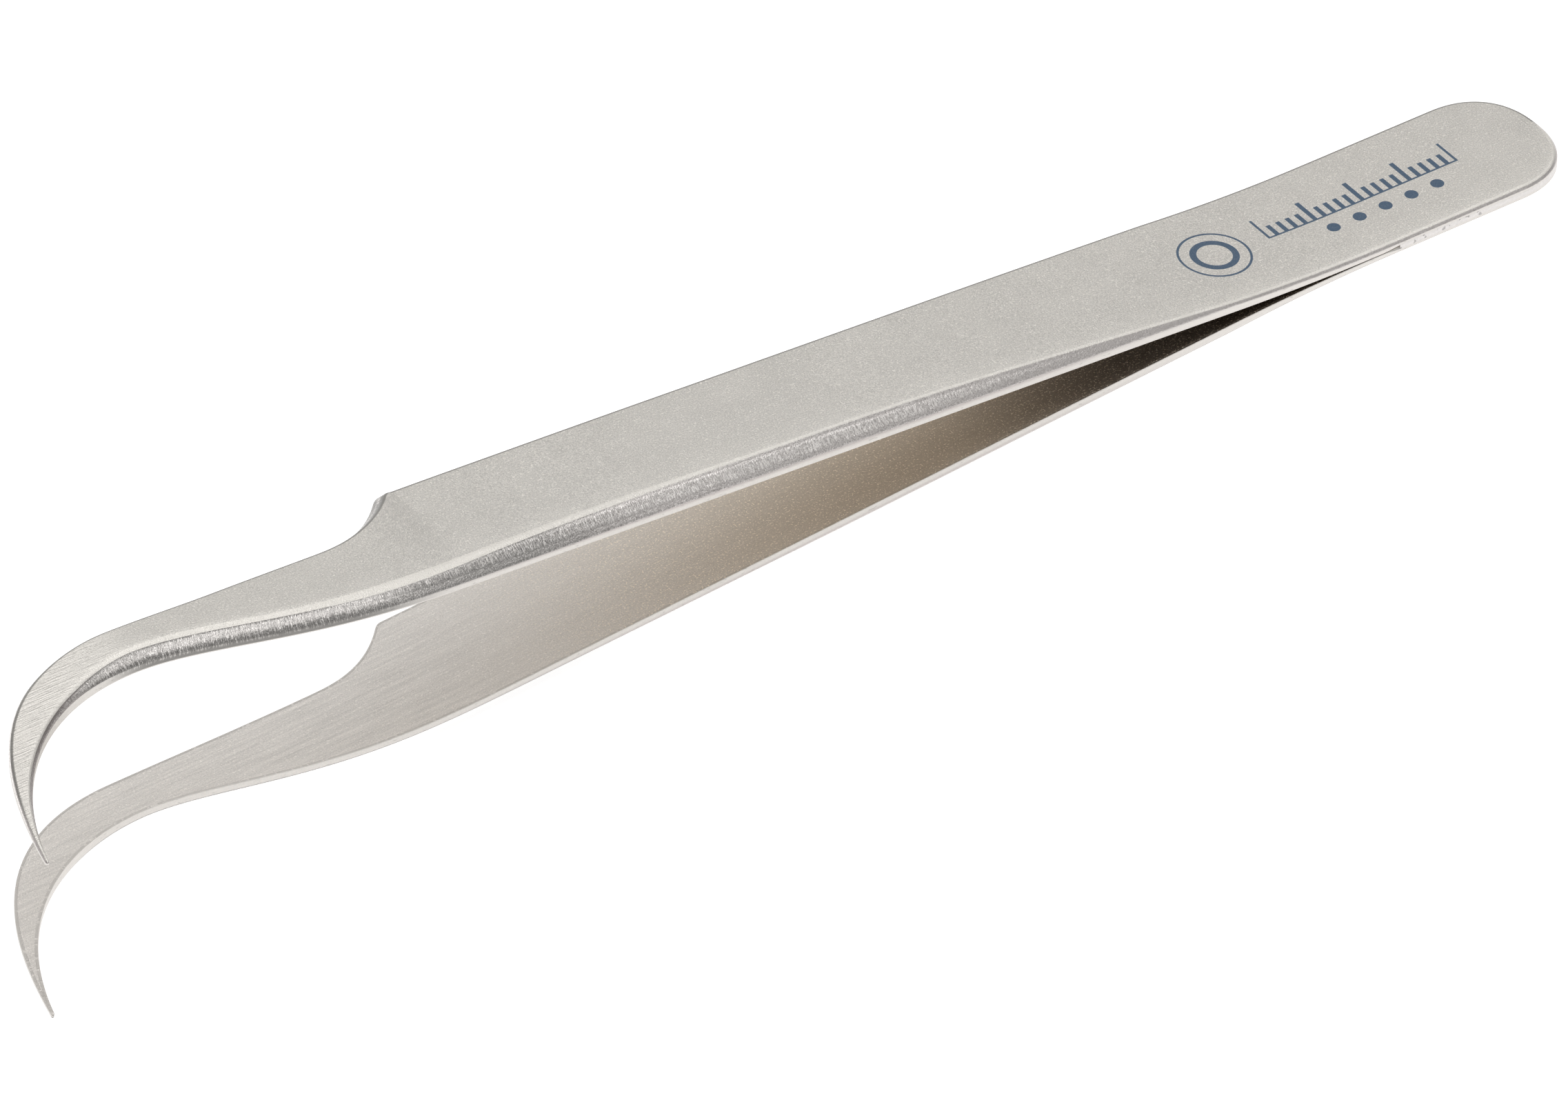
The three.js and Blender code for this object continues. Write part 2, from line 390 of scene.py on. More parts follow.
def armSections(mirrored):
    # every section as one ring of points, with each point's grain, its place on the straightened arm,
    # its zone and its rim
    s = armStations()
    sides = {}
    for side in (1, -1):
        at = edge(s, side)
        out = outward(s, side)
        rows = []
        for inset, height, zone, rim in halfSection(s, side):
            flat = at - out * inset[:, None]
            lift = insideHeight(flat[:, 0]) + height
            rows.append(np.column_stack([-flat[:, 0], flat[:, 1], lift, s, height, zone, rim]))
        sides[side] = rows
    far, near = sides[1], sides[-1]
    width = np.linalg.norm(edge(s, 1) - edge(s, -1), axis=1)
    splits = loft["splits"]
    under = [near[0] + (far[0] - near[0]) * t for t in splits]
    over = [far[-1] + (near[-1] - far[-1]) * t for t in splits]
    for t, low, top in zip(splits, under, over):
        low[:, 6] = top[:, 6] = width * min(t, 1 - t)
    ring = np.stack([*under, *far, *over, *near[::-1]], axis=1)
    place, along, height, zone, rim = ring[..., :3], *(ring[..., i] for i in range(3, 7))

    # round the point off
    nose = softness["noseLength"]
    into = np.clip((s - (armEnd - nose)) / nose, 0, 1)
    scale = np.sqrt(1 - into ** 2)[:, None, None]
    middle = place.mean(axis=1, keepdims=True)
    place = middle + (place - middle) * scale

    # distance across the arm from its middle line, from the edges of the same station
    farAt, nearAt = edge(s, 1), edge(s, -1)
    centre = (farAt + nearAt) / 2
    span = farAt - nearAt
    span = span / np.maximum(np.linalg.norm(span, axis=1), 1e-6)[:, None]
    flat = np.stack([-place[..., 0], place[..., 1]], axis=-1)
    across = ((flat - centre[:, None, :]) * span[:, None, :]).sum(axis=-1)
    grain = np.stack([along, across, height], axis=-1)
    if mirrored:
        place = place * (1, 1, -1)
    return place, grain, zone, rim


def pairLie():
    # the flat heel's mount gives the tilt, and the two flexing joints give the middle plane at hingeAt
    mounts = {m["name"]: m for m in record["mounts"]}
    up = Vector(mounts["heel_upper_face"]["axis"]).normalized()
    joints = {j["name"]: Vector(j["pos_m"]) for j in frame["joints"]}
    middle = (joints["upper_arm_flex"] + joints["lower_arm_flex"]) / 2
    side = Vector((0, 1, 0))
    back = side.cross(up)
    turn = Matrix((back, side, up)).transposed()
    return Matrix.Translation(middle + back * bow["hingeAt"] * mm) @ turn.to_4x4()


lie = pairLie()


def toFrame(place):
    # millimetres of the pair's own layout to metres of the CAD model's frame
    turn = np.array(lie.to_3x3())
    return place * mm @ turn.T + np.array(lie.translation)


def placed(name, data):
    thing = bpy.data.objects.new(name, data)
    bpy.context.scene.collection.objects.link(thing)
    return thing


def finish(name, colour, roughness):
    material = bpy.data.materials.new(name)
    material.use_nodes = True
    sheet = Sheet(material.node_tree)
    shader = material.node_tree.nodes["Principled BSDF"]
    shader.inputs["Metallic"].default_value = 1
    shader.inputs["Base Color"].default_value = (*colour, 1)
    shader.inputs["Roughness"].default_value = roughness
    return material, sheet, shader


def armPlace(sheet):
    # millimetres along the arm, across it and up from its inside face
    grain = sheet.link("ShaderNodeAttribute", {"attribute_name": "grain"}, output="Vector")
    parts = sheet.add("ShaderNodeSeparateXYZ", values={"Vector": grain})
    return grain, *(Link(sheet, parts.outputs[i]) for i in range(3))


def stretched(sheet, place, scale, turn=0):
    return sheet.link("ShaderNodeMapping", None,
                      {"Vector": place, "Scale": scale, "Rotation": (0, 0, math.radians(turn))})


def noise(sheet, place, scale, detail=2, roughness=0.5):
    return sheet.link("ShaderNodeTexNoise", None,
                      {"Vector": place, "Scale": scale, "Detail": detail, "Roughness": roughness})


def relief(sheet, shader, height, depth):
    bump = sheet.add("ShaderNodeBump", None, {"Height": height, "Distance": depth * mm})
    sheet.tree.links.new(bump.outputs[0], shader.inputs["Normal"])


def connect(sheet, value, shader, name):
    sheet.tree.links.new(value.socket, shader.inputs[name])


def tone(colour, gain):
    return tuple(min(1, c * gain) for c in colour)


def rimPlace(sheet):
    # millimetres in from the edge of the point's own face, negative on the bevel
    return sheet.link("ShaderNodeAttribute", {"attribute_name": "rim"}, output="Fac")


def lengthwise(sheet, across, along):
    # fine lines that run the length of the sheet the arms were cut from, whatever way the beak turns
    place = sheet.link("ShaderNodeTexCoord", output="Object")
    return stretched(sheet, place, (along / mm, across / mm, 1 / mm))


def blended(sheet, factor, first, second):
    # a colour between two others, each a fixed tone or a link
    node = sheet.add("ShaderNodeMix", {"data_type": "RGBA"})
    for socket, value in ((node.inputs[0], factor), (node.inputs[6], first), (node.inputs[7], second)):
        if isinstance(value, Link):
            sheet.tree.links.new(value.socket, socket)
        else:
            socket.default_value = (*value, 1)
    return Link(sheet, node.outputs[2])


def toned(sheet, factor, colour, dark, light):
    return blended(sheet, factor, tone(colour, dark), tone(colour, light))


def beltTicks(sheet, place, scale):
    return noise(sheet, stretched(sheet, place, scale), 1, 2, 0.6)


# every finish of the arms is worked out from "grain", a point's own place on the straightened arm in
# millimetres, and from "rim"; spans are places along the arm, and a ramp from larger to smaller falls.
# Scales are marks per millimetre. A cut is the pair of noise values between which a mark sets in.

outsideLook = {
    "colour": (0.655, 0.63, 0.59),
    "tones": (0.82, 1.25),          # darkest and lightest, as shares of the colour
    "roughness": 0.4,
    "blastScale": 10,               # bead-blasted grain
    "blastContrast": 2.8,
    "blastDepth": 0.05,
    "broadScale": 0.35,
    "broadContrast": 0.35,
    "fleckScale": (5, 11, 1),
    "fleckCut": (0.62, 0.72),
    # painted glints: bright specks on the blasted grain
    "sparkleScale": 7.5,
    "sparkleCut": (0.66, 0.76),
    "sparkleTone": 1.5,
    "heelScratches": (14, 0.7, 1),
    "heelScratchTurn": 12,          # degrees
    "heelScratchSpan": (3.2, 0.6),
    "brushSpan": (103, 109),        # the blasted body gives way to brushed beaks here
    "brushLines": (9, 0.6),         # across them and along them
    "brushContrast": 1.1,
    "nearEdgeHighlight": 0.3,                # painted highlight: the face is painted brighter towards its near edge
    "glowAcross": (2, -4.5),
    "glowWidths": (2.4, 0.5),
    "farReflectionWidth": (0.16, 0.08),   # painted dark reflection: thin dark line along the far edge
    "farReflectionTone": 0.5,
    "bevelHighlightSpan": (60, 82, 87, 96),   # a narrow painted highlight runs beside the bevel between these places
    "bevelHighlightWidth": (0.13, 0.42),
    "bevelHighlightGlow": 0.65,
}


def outsideFaceSteel(marked):
    p = outsideLook
    material, sheet, shader = finish("outsideFaceSteel" + ("Marked" if marked else ""),
                                     p["colour"], p["roughness"])
    grain, along, across, _ = armPlace(sheet)
    rim = rimPlace(sheet)
    blast = noise(sheet, grain, p["blastScale"], 3, 0.75)
    broad = noise(sheet, grain, p["broadScale"], 2)
    onBeak = along.ramp(*p["brushSpan"])
    brush = noise(sheet, lengthwise(sheet, *p["brushLines"]), 1, 3)
    scratch = noise(sheet, stretched(sheet, grain, p["heelScratches"], p["heelScratchTurn"]), 1, 2)
    atHeel = along.ramp(*p["heelScratchSpan"])
    flecks = noise(sheet, stretched(sheet, grain, p["fleckScale"]), 1, 1).ramp(*p["fleckCut"])

    # painted highlight: the outside face is lighter towards its near edge
    broadGlow, narrowGlow = p["glowWidths"]
    glow = 0.5 * rim.ramp(broadGlow, 0) + 0.5 * rim.ramp(narrowGlow, 0.1)
    paintedEdgeHighlight = across.ramp(*p["glowAcross"]) * glow
    # painted highlight in a narrow band beside the bevel, widest at the neck
    start, full, fade, end = p["bevelHighlightSpan"]
    narrow, wide = p["bevelHighlightWidth"]
    reach = narrow + (wide - narrow) * along.ramp(start, full) * along.ramp(end, fade)
    bevelHighlight = (reach - rim).ramp(0, 0.05) * across.ramp(0, -0.4)

    factor = 0.4 + p["blastContrast"] * (blast - 0.5) + p["broadContrast"] * (broad - 0.5)
    factor = factor + 0.5 * flecks * (1 - onBeak) + p["brushContrast"] * (brush - 0.5) * onBeak
    factor = factor + 0.6 * (scratch - 0.5) * atHeel + 0.3 * onBeak
    factor = factor + p["nearEdgeHighlight"] * paintedEdgeHighlight + p["bevelHighlightGlow"] * bevelHighlight
    metal = toned(sheet, factor, p["colour"], *p["tones"])
    # painted glints on the blasted grain
    sparkle = noise(sheet, grain, p["sparkleScale"], 0).ramp(*p["sparkleCut"]) * (1 - onBeak)
    metal = blended(sheet, sparkle * 0.5, metal, tone(p["colour"], p["sparkleTone"]))
    # painted dark reflection along the far edge
    farReflection = rim.ramp(*p["farReflectionWidth"]) * across.ramp(0, 0.4)
    metal = blended(sheet, farReflection, metal, tone(p["colour"], p["farReflectionTone"]))
    rough = p["roughness"] + 0.1 * (broad - 0.5) - 0.06 * onBeak
    if marked:
        mark = laserMark(sheet, along, across)
        metal = blended(sheet, mark * (1.3 - 0.6 * blast), metal, markLook["colour"])
        rough = rough + (markLook["roughness"] - p["roughness"]) * mark
    connect(sheet, metal, shader, "Base Color")
    connect(sheet, rough, shader, "Roughness")
    texture = blast * (1 - onBeak * 0.6) + 1.2 * brush * onBeak + 0.5 * scratch * atHeel
    relief(sheet, shader, texture, p["blastDepth"])
    return material


markLook = {
    "colour": (0.1, 0.15, 0.22),
    "roughness": 0.5,
    "soft": 0.04,                           # width of every soft edge
    "rule": (6.5, 21.1, -0.3, 0.05),        # start, end, place across, half width
    "ringAt": (25.1, -0.1),
    "rings": ((2.3, 0.06), (1.35, 0.2)),    # radius, half width
    "tickPitch": 0.73,
    "tallEvery": 5,
    "tickWidth": 0.14,
    "tickTop": 1.15,
    "tallTickTop": 2.1,
    "dots": (9.0, 17.0, -1.55, 2.0, 0.42),  # start, end, place across, pitch, radius
}


def laserMark(sheet, along, across):
    # a plain target, a bare scale of ticks and a row of dots: no words and no maker's sign
    p = markLook
    start, end, level, half = p["rule"]
    soft = p["soft"]
    rule = abs(across - level).ramp(half + soft, half)
    within = along.ramp(start - soft, start) * along.ramp(end + soft, end)
    pitch = p["tickPitch"]
    place = (along - start) / pitch + 0.5
    beside = abs(place.modulo(1) - 0.5) * pitch
    tick = beside.ramp(p["tickWidth"] + soft, p["tickWidth"])
    tall = place.floor().modulo(p["tallEvery"]).ramp(0.6, 0.4)
    top = p["tickTop"] + (p["tallTickTop"] - p["tickTop"]) * tall
    rise = across - level
    above = rise.ramp(0, soft) * (top - rise).ramp(0, soft)
    mark = rule.most(tick * above) * within
    first, last, row, spacing, size = p["dots"]
    slide = ((along - first) / spacing + 0.5).modulo(1) - 0.5
    offset, lift = slide * spacing, across - row
    dot = (offset * offset + lift * lift).root().ramp(size + soft, size)
    inRow = along.ramp(first - size * 2, first - size) * along.ramp(last + size * 2, last + size)
    mark = mark.most(dot * inRow)
    dx, dy = along - p["ringAt"][0], across - p["ringAt"][1]
    radius = (dx * dx + dy * dy).root()
    for ring, width in p["rings"]:
        mark = mark.most(abs(radius - ring).ramp(width + soft, width))
    return mark


bevelLook = {
    "colour": (0.645, 0.585, 0.565),
    "darkTone": 0.5,
    "neckDark": (0.3, 0.288, 0.275),
    "bright": (1, 0.96, 0.925),     # freshly cut strokes
    "roughness": 0.34,
    "bodyTicks": (16, 3, 3),        # short strokes of the grinding belt
    "neckTicks": (16, 2, 2),
    "tickCut": (0.47, 0.62),
    "tickDepth": 0.08,
    "tickHeight": (0.7, 0.85),      # over the inside face
    "tickInset": (0.16, 0.34),      # from the outside face's edge
    "fineScale": 11,
    "groundSpan": (30, 56),         # the strokes set in
    "coarseSpan": (68, 80),         # they turn longer and darker between
    "neck": (86, 93, 108, 112),     # ground round and bright between these places
    "lipSpan": (74, 90),            # painted shade: a dark band right beside the outside face
    "lipInset": (0.24, 0.12),
    "lipShade": 0.45,
    "wideLip": (89, 96, 103, 108),
    "wideLipInset": (0.46, 0.26),
    "crownInset": (0.16, 0.4),      # painted highlight: a bright band along the middle of the rounded neck
    "crownHeight": (0.62, 0.8),
    "crownHighlight": 0.7,
    # painted shade towards the bevel's foot, over the wall
    "footHeight": (0.95, 0.7),
    "shadedSpan": (104, 108),
    "polishSpan": (110, 115),       # the points are polished
}


def groundBevelSteel():
    p = bevelLook
    material, sheet, shader = finish("groundBevelSteel", p["colour"], p["roughness"])
    grain, along, across, up = armPlace(sheet)
    depth = 0 - rimPlace(sheet)
    start, full, fade, end = p["neck"]
    neck = along.ramp(start, full) * along.ramp(end, fade)
    coarse = along.ramp(*p["coarseSpan"]) * along.ramp(end, fade)
    ground = along.ramp(*p["groundSpan"])
    polish = along.ramp(*p["polishSpan"])
    farSide = across.ramp(0, 0.3)
    shaded = along.ramp(*p["shadedSpan"]) * (1 - farSide)

    bodyTicks = beltTicks(sheet, grain, p["bodyTicks"])
    neckTicks = beltTicks(sheet, grain, p["neckTicks"])
    ticks = bodyTicks * (1 - coarse) + neckTicks * coarse
    fine = noise(sheet, grain, p["fineScale"], 2, 0.6)
    band = up.ramp(*p["tickHeight"]).most(neck) * depth.ramp(*p["tickInset"])
    strokes = ticks.ramp(*p["tickCut"]) * ground * band * (1 - polish)

    # painted shade in a band beside the outside face, wider at the neck
    start, full, fade, end = p["wideLip"]
    wideLip = depth.ramp(*p["wideLipInset"]) * along.ramp(start, full) * along.ramp(end, fade)
    lip = depth.ramp(*p["lipInset"]).most(wideLip) * depth.ramp(-0.1, 0) * along.ramp(*p["lipSpan"])
    # painted highlight along the middle of the rounded neck
    crown = depth.ramp(*p["crownInset"]) * up.ramp(*p["crownHeight"]) * neck
    # painted shade towards the bevel's foot
    foot = up.ramp(*p["footHeight"]) * ground * (1 - neck)
    pointEdge = polish * depth.ramp(0.09, 0.03)

    factor = 0.44 - 0.2 * coarse + (0.55 + 0.15 * coarse) * strokes + 0.1 * ground * (1 - coarse)
    factor = factor + 1.6 * (fine - 0.5) * (0.3 + 0.7 * ground) - 0.08 * foot
    # painted highlight along the neck's crown, and painted shade on its lower part
    factor = factor + p["crownHighlight"] * crown - 0.4 * neck * up.ramp(0.75, 0.5)
    factor = factor - p["lipShade"] * lip - 0.25 * shaded
    # painted highlight: the polished points are lighter on their far side; a thin line along the outside
    # face's edge is darker
    factor = factor + 0.75 * polish * farSide - 1.5 * pointEdge
    dark = blended(sheet, coarse, tone(p["colour"], p["darkTone"]), p["neckDark"])
    connect(sheet, blended(sheet, factor, dark, p["bright"]), shader, "Base Color")
    connect(sheet, p["roughness"] + 0.12 * (fine - 0.5) - 0.16 * polish, shader, "Roughness")
    height = ticks * (0.15 + 0.85 * ground * band) * (1 + 0.5 * coarse) + 0.4 * fine
    relief(sheet, shader, height, p["tickDepth"])
    return material


wallLook = {
    "colour": (0.73, 0.7, 0.665),
    "tones": (0.84, 1.12),
    "endTones": (0.918, 1.122),     # lighter at the heel and on the beak
    "roughness": 0.45,
    "pullScale": (1.2, 8, 8),       # drawn lines of the cut
    "nickScale": (2, 6, 6),
    "nickCut": (0.3, 0.24),
    "fineScale": 9,
    "heelSpan": (46, 26),
    "beakSpan": (106, 111),
    "shadeHeight": (0.2, 0.52),     # painted shade: the wall's upper part darkens into the bevel's colour
    "shadeSpan": (26, 48, 80, 90),
    "shadeTone": 0.82,
    "neckShadeTone": 0.36,               # painted shade with the belt's strokes: the upper arm's neck wall is darker, lighter at the strokes and towards the inside face
    "neckTickCut": (0.45, 0.65),
    "neck": (84, 92, 104, 109),
    "depth": 0.015,
}


def cutWallSteel(beltedAndShaded):
    p = wallLook
    material, sheet, shader = finish("cutWallSteel" + ("BeltedAndShaded" if beltedAndShaded else ""),
                                     p["colour"], p["roughness"])
    grain, along, _, up = armPlace(sheet)
    pull = noise(sheet, stretched(sheet, grain, p["pullScale"]), 1.2, 3)
    fine = noise(sheet, grain, p["fineScale"], 2)
    nicks = noise(sheet, stretched(sheet, grain, p["nickScale"]), 1, 1).ramp(*p["nickCut"])
    factor = 0.5 * pull + 0.7 * (fine - 0.25) - 0.5 * nicks
    body = toned(sheet, factor, p["colour"], *p["tones"])
    ends = toned(sheet, factor, p["colour"], *p["endTones"])
    metal = blended(sheet, along.ramp(*p["heelSpan"]).most(along.ramp(*p["beakSpan"])), body, ends)
    # painted shade on the wall's upper part
    start, full, fade, end = p["shadeSpan"]
    shade = up.ramp(*p["shadeHeight"]) * along.ramp(start, full) * along.ramp(end, fade)
    metal = blended(sheet, shade * 0.9, metal, tone(bevelLook["colour"], p["shadeTone"]))
    height = pull + 0.4 * fine - nicks
    # painted shade on the upper arm's neck wall, broken by the belt's strokes
    if beltedAndShaded:
        start, full, fade, end = p["neck"]
        neck = along.ramp(start, full) * along.ramp(end, fade)
        ticks = beltTicks(sheet, grain, bevelLook["neckTicks"])
        strokes = (ticks.ramp(*p["neckTickCut"]) * up.ramp(0.2, 0.5)).most(up.ramp(0.12, 0.06))
        belt = blended(sheet, strokes, tone(p["colour"], p["neckShadeTone"]), p["colour"])
        metal = blended(sheet, neck, metal, belt)
        height = height + 2 * ticks * neck
    connect(sheet, metal, shader, "Base Color")
    relief(sheet, shader, height, p["depth"])
    return material


insideLook = {
    "colour": (0.735, 0.7, 0.66),
    "warmReflection": (0.64, 0.565, 0.475),   # painted warm reflection deep between the arms, where they light each other
    "tones": (0.8, 1.2),
    "warmReflectionSpan": (84, 50),
    "deep": (0.27, 0.225, 0.185),   # almost no light gets into the narrow end of the gap
    "deepSpan": (48, 32),
    "sparkle": (1, 0.9, 0.76),      # painted glints on the grains of the blasted face
    "sparkleScale": 8,
    "sparkleCut": (0.64, 0.74),
    "sparkleSpan": (84, 66),
    "roughness": 0.37,
    "brushLines": (6, 0.3),         # across them and along them
    "brushSpan": (76, 88),
    "fineScale": 10,
    "fleckScale": (5, 9, 1),
    "fleckCut": (0.6, 0.7),
    "burrWidth": (0.2, 0.12),       # broken dark line of burr along the edges
    "burrBreaks": (3, 1, 1),
    "burrCut": (0.36, 0.46),
    "depth": 0.03,
}


def insideFaceSteel():
    p = insideLook
    material, sheet, shader = finish("insideFaceSteel", p["colour"], p["roughness"])
    grain, along, _, _ = armPlace(sheet)
    brush = noise(sheet, lengthwise(sheet, *p["brushLines"]), 1, 3)
    fine = noise(sheet, grain, p["fineScale"], 3, 0.75)
    flecks = noise(sheet, stretched(sheet, grain, p["fleckScale"]), 1, 1).ramp(*p["fleckCut"])
    broken = noise(sheet, stretched(sheet, grain, p["burrBreaks"]), 1, 1).ramp(*p["burrCut"])
    burr = rimPlace(sheet).ramp(*p["burrWidth"]) * broken
    factor = 0.4 + (0.4 + 0.7 * along.ramp(*p["brushSpan"])) * (brush - 0.5)
    factor = factor + 2 * (fine - 0.5) + 0.5 * flecks - 1.1 * burr
    clear = toned(sheet, factor, p["colour"], *p["tones"])
    warmReflected = toned(sheet, factor, p["warmReflection"], *p["tones"])
    dim = blended(sheet, flecks + 1.5 * (fine - 0.5), p["deep"], tone(p["warmReflection"], p["tones"][1]))
    # painted light and shade along the gap: clear near the shoulder, a painted warm reflection further in,
    # painted shade at its narrow end
    metal = blended(sheet, along.ramp(*p["warmReflectionSpan"]), clear, warmReflected)
    metal = blended(sheet, along.ramp(*p["deepSpan"]), metal, dim)
    # painted glints, near the shoulder only
    sparkle = noise(sheet, grain, p["sparkleScale"], 0).ramp(*p["sparkleCut"])
    sparkle = sparkle * along.ramp(*p["sparkleSpan"]) * 0.8
    connect(sheet, blended(sheet, sparkle, metal, p["sparkle"]), shader, "Base Color")
    relief(sheet, shader, 0.3 * brush + 1.2 * fine - 0.5 * burr, p["depth"])
    return material


weldLook = {
    "colour": (0.8, 0.77, 0.75),
    "tones": (0.6, 1.15),
    "roughness": 0.44,
    "fineScale": 6,
    "pitScale": 2.6,
    "pitCut": (0.38, 0.32),
    "patchScale": 0.26,             # the pits come in patches
    "patchCut": (0.5, 0.62),
    "depth": 0.03,
}


def weldSteel():
    p = weldLook
    material, sheet, shader = finish("weldSteel", p["colour"], p["roughness"])
    place = sheet.link("ShaderNodeTexCoord", output="Object")
    fine = noise(sheet, place, p["fineScale"] / mm, 3)
    pits = noise(sheet, place, p["pitScale"] / mm, 1).ramp(*p["pitCut"])
    pits = pits * noise(sheet, place, p["patchScale"] / mm, 1).ramp(*p["patchCut"])
    factor = 0.6 + 0.5 * (fine - 0.5) - 0.7 * pits
    connect(sheet, toned(sheet, factor, p["colour"], *p["tones"]), shader, "Base Color")
    relief(sheet, shader, 0.5 * fine - pits, p["depth"])
    return material


def loftTree(finishes):
    # lays a grid of faces through the sections, closes its seam and gives each zone its finish
    tree = bpy.data.node_groups.new("armLoft", "GeometryNodeTree")
    face = tree.interface
    face.new_socket(name="Sections", in_out="INPUT", socket_type="NodeSocketGeometry")
    face.new_socket(name="Stations", in_out="INPUT", socket_type="NodeSocketInt")
    face.new_socket(name="Points Each", in_out="INPUT", socket_type="NodeSocketInt")
    face.new_socket(name="Weld Distance", in_out="INPUT", socket_type="NodeSocketFloat")
    face.new_socket(name="Arm", in_out="OUTPUT", socket_type="NodeSocketGeometry")
    sheet = Sheet(tree)
    given = sheet.add("NodeGroupInput")
    source, stations, each, weld = (Link(sheet, given.outputs[i]) for i in range(4))
    columns = each + 1
    grid = sheet.link("GeometryNodeMeshGrid", None, {"Vertices X": stations, "Vertices Y": columns})
    index = sheet.link("GeometryNodeInputIndex")
    row = (index / columns).floor()
    place = (index - row * columns).modulo(each)
    pick = row * each + place

    def fromSection(value, kind):
        node = sheet.add("GeometryNodeSampleIndex", {"data_type": kind, "domain": "POINT"})
        sheet.tree.links.new(source.socket, node.inputs["Geometry"])
        sheet.tree.links.new(value.socket, node.inputs["Value"])
        sheet.tree.links.new(pick.socket, node.inputs["Index"])
        return Link(sheet, node.outputs["Value"])

    position = fromSection(sheet.link("GeometryNodeInputPosition"), "FLOAT_VECTOR")
    shape = grid
    for name, kind in (("grain", "FLOAT_VECTOR"), ("zone", "FLOAT"), ("rim", "FLOAT")):
        given = sheet.link("GeometryNodeInputNamedAttribute", {"data_type": kind}, {"Name": name})
        shape = sheet.link("GeometryNodeStoreNamedAttribute", {"data_type": kind, "domain": "POINT"},
                           {"Geometry": shape, "Name": name, "Value": fromSection(given, kind)})
    shape = sheet.link("GeometryNodeSetPosition", None, {"Geometry": shape, "Position": position})
    shape = sheet.link("GeometryNodeMergeByDistance", None, {"Geometry": shape, "Distance": weld})
    shape = sheet.link("GeometryNodeSetShadeSmooth", None, {"Geometry": shape})
    shape = sheet.link("GeometryNodeRealizeInstances", None, {"Geometry": shape})
    zoned = sheet.link("GeometryNodeInputNamedAttribute", {"data_type": "FLOAT"}, {"Name": "zone"})
    for number, material in enumerate(finishes):
        chosen = sheet.link("FunctionNodeCompare", {"data_type": "FLOAT", "operation": "LESS_EQUAL"},
                            {"A": abs(zoned - number), "B": 0.501})
        shape = sheet.link("GeometryNodeSetMaterial", None,
                           {"Geometry": shape, "Selection": chosen, "Material": material})
    sheet.add("NodeGroupOutput", None, {"Arm": shape})
    return tree


def baked(holder, tree, values, name):
    # runs the tree once and keeps its result as a plain mesh, normals outward
    modifier = holder.modifiers.new(tree.name, "NODES")
    modifier.node_group = tree
    for item in tree.interface.items_tree:
        if item.in_out == "INPUT" and item.name in values:
            modifier[item.identifier] = values[item.name]
    bpy.context.view_layer.update()
    graph = bpy.context.evaluated_depsgraph_get()
    mesh = bpy.data.meshes.new_from_object(holder.evaluated_get(graph), depsgraph=graph)
    holder.modifiers.remove(modifier)
    bpy.data.objects.remove(holder)
    mesh.name = name
    shape = bmesh.new()
    shape.from_mesh(mesh)
    bmesh.ops.dissolve_degenerate(shape, dist=sliver, edges=shape.edges)
    bmesh.ops.recalc_face_normals(shape, faces=shape.faces)
    shape.to_mesh(mesh)
    shape.free()
    return placed(name, mesh)


def makeArm(name, mirrored, finishes):
    place, grain, zone, rim = armSections(mirrored)
    stations, each = zone.shape
    mesh = bpy.data.meshes.new(name + "Sections")
    mesh.from_pydata(toFrame(place.reshape(-1, 3)).tolist(), [], [])
    mesh.attributes.new("grain", "FLOAT_VECTOR", "POINT")
    mesh.attributes["grain"].data.foreach_set("vector", grain.astype(np.float32).ravel())
    for field, values in (("zone", zone), ("rim", rim)):
        mesh.attributes.new(field, "FLOAT", "POINT")
        mesh.attributes[field].data.foreach_set("value", values.astype(np.float32).ravel())
    values = {"Stations": stations, "Points Each": each, "Weld Distance": loft["mergeDistance"] * mm}
    return baked(placed(name + "Sections", mesh), loftTree(finishes), values, name)


def layArms():
    inside, bevel = insideFaceSteel(), groundBevelSteel()
    for name, body, mirrored in (("upperArm", "upper_arm", False), ("lowerArm", "lower_arm", True)):
        wall, outside = cutWallSteel(not mirrored), outsideFaceSteel(not mirrored)
        arm = makeArm(name, mirrored, (inside, wall, bevel, outside))
        start, end = (toFrame(np.array([[-d, 0, 0]], float))[0] for d in bow["bendZone"])
        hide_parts(body, body.replace("arm", "heel"))
        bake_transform(arm)
        print("arm", name, len(arm.data.polygons), "faces")


weld = {
    "end": 14.4,
    "height": 0.4,
    "depth": 0.2,
    "cornerRadius": 0.05,
    "unevenness": 0.008,
    "unevenScale": 900,
    "spacing": 0.12,
    "seed": 7,
    "roundSteps": 60,
    "sideFrom": 5.1,
    "sideSteps": 40,
}


